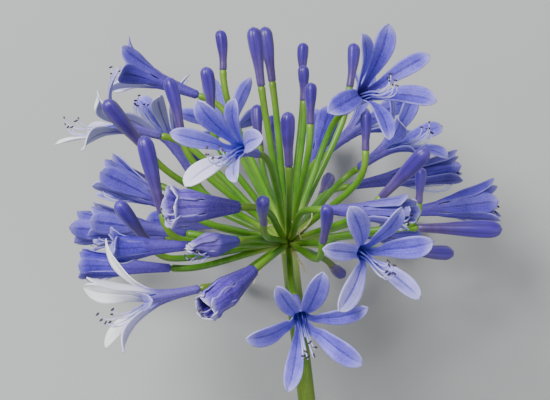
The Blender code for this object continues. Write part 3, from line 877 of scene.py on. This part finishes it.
# Each flower: its petals' length, their spread in degrees, how pale and how crumpled
# they are. The third is turned sideways and lists its own petals.
half_open_flowers = {
    "half_open_flower_01": (21, 21, 0.25, 0.0),
    "half_open_flower_02": (20, 14, 0.25, 0.3),
    "half_open_flower_03": (21, 38, 0.15, 0.0),
    "half_open_flower_04": (23, 21, 0.25, 0.0),
    "half_open_flower_05": (16, 24, 0.05, 0.7),
    "half_open_flower_06": (30, 10, 0.15, 0.0),
    "half_open_flower_07": (26, 21, 0.12, 0.0),
    "half_open_flower_08": (24, 21, 0.10, 0.0),
    "half_open_flower_09": (26, 21, 0.15, 0.0),
    "half_open_flower_10": (27, 21, 0.10, 0.0),
    "half_open_flower_11": (25, 21, 0.12, 0.0),
    "half_open_flower_12": (19, 18, 0.05, 0.0),
}
sideways_petals = (
    (10, 38, 0.1), (-50, 30, 0.15), (-105, 45, 0.1),
    (-165, 35, 0.8), (125, 45, 0.7), (65, 45, 0.2),
)
resting = ("half_open_flower_10", "half_open_flower_11")  # on these the head lies
trumpet_outside = petal_finish(
    "trumpet outside",
    deep=(0.042, 0.020, 0.350, 1),
    mid=(0.080, 0.045, 0.510, 1),
    pale=(0.540, 0.520, 0.890, 1),
    stripe=(0.024, 0.008, 0.210, 1),
    tube_colour=(0.080, 0.045, 0.340, 1),
    rim=0.08,
    bleach=0.16,
)
trumpet_inside = petal_finish(
    "trumpet inside",
    deep=(0.082, 0.050, 0.490, 1),
    mid=(0.130, 0.094, 0.630, 1),
    pale=(0.740, 0.730, 0.950, 1),
    stripe=(0.034, 0.016, 0.320, 1),
    tube_colour=(0.060, 0.036, 0.380, 1),
    rim=0.16,
)
trumpet_skins = (trumpet_outside, trumpet_inside)
for number, (name, (length, spread, pale, crumple)) in enumerate(half_open_flowers.items()):
    form = Form(
        length,
        TUBE_LENGTH,
        THROAT_RADIUS,
        TRUMPET_FLARE,
        TRUMPET_HALF_WIDTH,
        TRUMPET_CLOSED,
        crumple,
    )
    petals = sideways_petals if name == "half_open_flower_03" else pale
    uneven = (0, 0) if name in resting else TRUMPET_UNEVENNESS
    petals = petal_list(petals, spread, TRUMPET_PETAL_SEED + number, uneven, TRUMPET_INSET)
    inner = length * TRUMPET_STAMENS
    seed = TRUMPET_STAMEN_SEED + number
    bloom = bloom_of(name, "trumpet", form, petals, pale, trumpet_skins, inner, seed)
    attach(bloom, "root")
    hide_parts(name)

# Spent flowers.
# Past their best, they have closed again into limp funnels. The petals are creased,
# and their frilled edges have bleached almost white.

SPENT_TUBE = 14.0
SPENT_THROAT = 4.4
SPENT_FLARE = 1.1
SPENT_HALF_WIDTH = 5.0
SPENT_CLOSED = 0.74
SPENT_UNEVENNESS = (4, 5)
SPENT_INSET = 0.6
SPENT_STAMENS = 0.9  # as a share of the petals' length
SPENT_PETAL_SEED = 211
SPENT_STAMEN_SEED = 240
# Each flower: its petals' length, their spread in degrees, how pale they are and how
# crumpled; a negative crumple has the tips rolled inward.
spent_flowers = {
    "spent_flower_01": (15, 27, 0.15, 0.8),
    "spent_flower_02": (13, 7.5, 0.40, -0.9),
    "spent_flower_03": (15, 20, 0.05, -1.2),
}
spent_outside = petal_finish(
    "spent petal outside",
    deep=(0.052, 0.018, 0.300, 1),
    mid=(0.118, 0.060, 0.500, 1),
    pale=(0.420, 0.340, 0.780, 1),
    stripe=(0.034, 0.010, 0.190, 1),
    tube_colour=(0.046, 0.030, 0.300, 1),
    rim=0.06,
    bleach=0.50,
)
spent_inside = petal_finish(
    "spent petal inside",
    deep=(0.080, 0.032, 0.400, 1),
    mid=(0.140, 0.080, 0.560, 1),
    pale=(0.740, 0.690, 0.940, 1),
    stripe=(0.045, 0.016, 0.260, 1),
    tube_colour=(0.050, 0.024, 0.260, 1),
    rim=0.18,
    bleach=0.58,
)
spent_skins = (spent_outside, spent_inside)
for number, (name, (length, spread, pale, crumple)) in enumerate(spent_flowers.items()):
    form = Form(
        length, SPENT_TUBE, SPENT_THROAT, SPENT_FLARE, SPENT_HALF_WIDTH, SPENT_CLOSED, crumple
    )
    seed = SPENT_PETAL_SEED + number
    petals = petal_list(pale, spread, seed, SPENT_UNEVENNESS, SPENT_INSET)
    inner = length * SPENT_STAMENS
    seed = SPENT_STAMEN_SEED + number
    bloom = bloom_of(name, "limp_petals", form, petals, pale, spent_skins, inner, seed)
    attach(bloom, "root")
    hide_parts(name)

# Buds.
# Closed clubs of six petals pressed together, with a shallow groove along each seam.
# The skin is waxy and dark violet, browner towards the pedicel on which it sits.

bud_lengths = {
    "bud_01": 30, "bud_02": 28, "bud_03": 24, "bud_04": 20, "bud_05": 22, "bud_06": 16,
    "bud_07": 23, "bud_08": 22, "bud_09": 15, "bud_10": 14, "bud_11": 16, "bud_12": 21,
    "bud_13": 18, "bud_14": 17, "bud_15": 18, "bud_16": 27, "bud_17": 14, "bud_18": 33,
    "bud_19": 22, "bud_20": 18, "bud_21": 24, "bud_22": 26, "bud_23": 22, "bud_24": 20,
    "bud_25": 25, "bud_26": 24, "bud_27": 22, "bud_28": 15,
}
# Shares of the length, with the radius there as a share of the widest one.
bud_profile = ((0.30, 0.62), (0.66, 0.97), (0.85, 1.0), (0.96, 0.93), (1.0, 0.9))
BUD_BASE_RADIUS = 1.5
BUD_ROUND = 36
BUD_RINGS = 28
BUD_SMOOTHING = 0.06  # the profile is averaged over this much to either side
BUD_TIP = 0.16  # the share of the length over which the tip rounds in
BUD_FOOT = 0.05  # and the same at its foot
SEAM_GROOVE = 0.035  # how deep the seams are, as a share of the radius
THREE_SIDED = 0.03  # and how far three of the six petals stand out past the others
BUD_TWIST = 0.35
BUD_BOW = 0.5
BUD_PALEST = 0.9
BUD_SEED = 311


def bud_radius(share, length):
    """The radius of a bud at a share of its length, smooth through the profile."""
    widest = 1.25 + 0.066 * length
    shares = [0.0] + [point[0] for point in bud_profile]
    radii = [BUD_BASE_RADIUS] + [point[1] * widest for point in bud_profile]
    steps = (-BUD_SMOOTHING, 0.0, 0.0, BUD_SMOOTHING)
    near = [float(np.interp(share + step, shares, radii)) for step in steps]
    closing = math.sqrt(max(0.0, 1 - (max(0.0, share - (1 - BUD_TIP)) / BUD_TIP) ** 2.2))
    opening = math.sqrt(max(0.0, 1 - (max(0.0, BUD_FOOT - share) / BUD_FOOT) ** 2))
    return sum(near) / len(near) * closing * opening


def bud_point(share, angle, length, turn, twist, bow):
    """A point of the bud's skin, in millimetres, grooved, twisted and slightly bowed."""
    groove = SEAM_GROOVE * math.cos(angle * PETALS) + THREE_SIDED * math.cos(angle * 3)
    radius = bud_radius(share, length) * (1 + groove * soft_step(share, 0.1, 0.5))
    angle += turn + twist * share
    lean = bow * math.sin(math.pi * share)
    return Vector((radius * math.cos(angle) + lean, radius * math.sin(angle), share * length))


bud_skin, tree, shader, place = fresh_material("bud skin")
flat = node(tree, "ShaderNodeUVMap", uv_map="UVMap").outputs["UV"]
parts = node(tree, "ShaderNodeSeparateXYZ", {0: flat})
around, along = parts.outputs["X"], parts.outputs["Y"]
tint = node(tree, "ShaderNodeAttribute", attribute_name="pale").outputs["Fac"]
cloud = cloud_of(tree, place, 220.0, 3.0)
fine = cloud_of(tree, place, 1500.0, 2.0)
waves = math_of(tree, "COSINE", math_of(tree, "MULTIPLY", around, math.tau * PETALS))
seams = eased(tree, waves, -0.75, -1.0)
backs = eased(tree, waves, 0.2, 1.0)
violet = laid(tree, (0.028, 0.005, 0.165, 1), (0.044, 0.012, 0.250, 1), cloud, 0.3, 0.7)
violet = blended(tree, tint, violet, (0.054, 0.022, 0.330, 1))
brown = laid(tree, (0.070, 0.034, 0.115, 1), (0.110, 0.068, 0.180, 1), cloud, 0.3, 0.7)
colour = laid(tree, violet, brown, along, 0.12, 0.74, 0.85, 0.0)
colour = blended(tree, math_of(tree, "MULTIPLY", backs, 0.22), colour, (0.090, 0.052, 0.430, 1))
colour = blended(tree, math_of(tree, "MULTIPLY", seams, 0.60), colour, (0.020, 0.010, 0.130, 1))
colour = laid(tree, colour, (0.125, 0.078, 0.480, 1), along, 0.90, 1.0, 0.0, 0.30)
colour = laid(tree, colour, (0.160, 0.220, 0.060, 1), along, 0.0, 0.06, 0.6, 0.0)
waxy = {
    "Roughness": 0.40,
    "Subsurface Weight": 0.12,
    "Subsurface Radius": (0.5, 0.4, 1.0),
    "Subsurface Scale": 0.0015,
    "Sheen Weight": 0.15,
}
height = math_of(tree, "ADD", math_of(tree, "MULTIPLY", seams, -1.2), fine)
coated(tree, shader, colour, waxy, height, strength=0.30, depth=0.00025)

bud_blank = flat_blank("bud blank", BUD_ROUND, BUD_RINGS)
for number, (name, length) in enumerate(bud_lengths.items()):
    draw = random.Random(BUD_SEED + number)
    turn = draw.uniform(0, math.tau)
    twist = draw.uniform(-BUD_TWIST, BUD_TWIST)
    bow = draw.uniform(-BUD_BOW, BUD_BOW)
    pale = draw.uniform(0.0, BUD_PALEST)
    bud = copy_of(bud_blank, f"closed_petals_of_{name}")
    for vertex in bud.data.vertices:
        share = vertex.co.y + 0.5
        angle = (vertex.co.x + 0.5) * math.tau
        vertex.co = bud_point(share, angle, length, turn, twist, bow) * MM
    bpy.ops.object.select_all(action="DESELECT")
    bud.select_set(True)
    bpy.context.view_layer.objects.active = bud
    welded(PETAL_WELD)
    bpy.ops.object.shade_smooth()
    painted(bud, (bud_skin,))
    toned(bud, lambda v: pale)
    base, aim = borne[name]
    settled(bud, head @ aimed(base, aim))
    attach(bud, "root")
    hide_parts(name)

for blank in (petal_blank, anther_blank, bud_blank):
    bpy.data.objects.remove(blank)

# Surface, light and camera.
# A plain pale surface under soft light from a broad panel, seen by a camera that
# looks down on the laid stem as the photograph looks at the standing one.

bpy.ops.mesh.primitive_plane_add(size=6)
surface = bpy.context.object
surface.name = "surface"
pale_board, tree, shader, place = fresh_material("pale board")
cloud = cloud_of(tree, place, 9.0, 4.0)
colour = blended(tree, cloud, (0.36, 0.36, 0.355, 1), (0.41, 0.41, 0.405, 1))
coated(tree, shader, colour, {"Roughness": 0.8})
painted(surface, (pale_board,))


def soft_light(name, shape, size, power, place):
    """A light that faces the knob, from its place in the head's frame, in metres."""
    bpy.ops.object.light_add(type="AREA")
    light = bpy.context.object
    light.name = name
    light.data.shape = shape
    light.data.size = size
    light.data.energy = power
    spot = head @ Vector(place)
    light.location = spot
    light.rotation_euler = (spot - head.translation).to_track_quat("Z", "Y").to_euler()


soft_light("soft panel", "DISK", size=0.6, power=29, place=(-0.55, 0.65, 1.00))
soft_light("soft fill", "SQUARE", size=1.2, power=5, place=(0.9, -0.5, 0.8))

sky = bpy.data.worlds.new("soft room")
sky.use_nodes = True
background = sky.node_tree.nodes["Background"]
background.inputs["Color"].default_value = (0.90, 0.95, 1.0, 1)
background.inputs["Strength"].default_value = 0.45
bpy.context.scene.world = sky

CAMERA_PLACE = (-5.0, 16.5, 700.0)  # in the head's frame, in millimetres
LENS = 119.1
SENSOR_WIDTH = 36
NEAREST_SEEN = 0.01
bpy.ops.object.camera_add()
camera = bpy.context.object
camera.data.sensor_width = SENSOR_WIDTH
camera.data.lens = LENS
camera.data.clip_start = NEAREST_SEEN
camera.matrix_world = head @ Matrix.Translation(Vector(CAMERA_PLACE) * MM)
bpy.context.scene.camera = camera
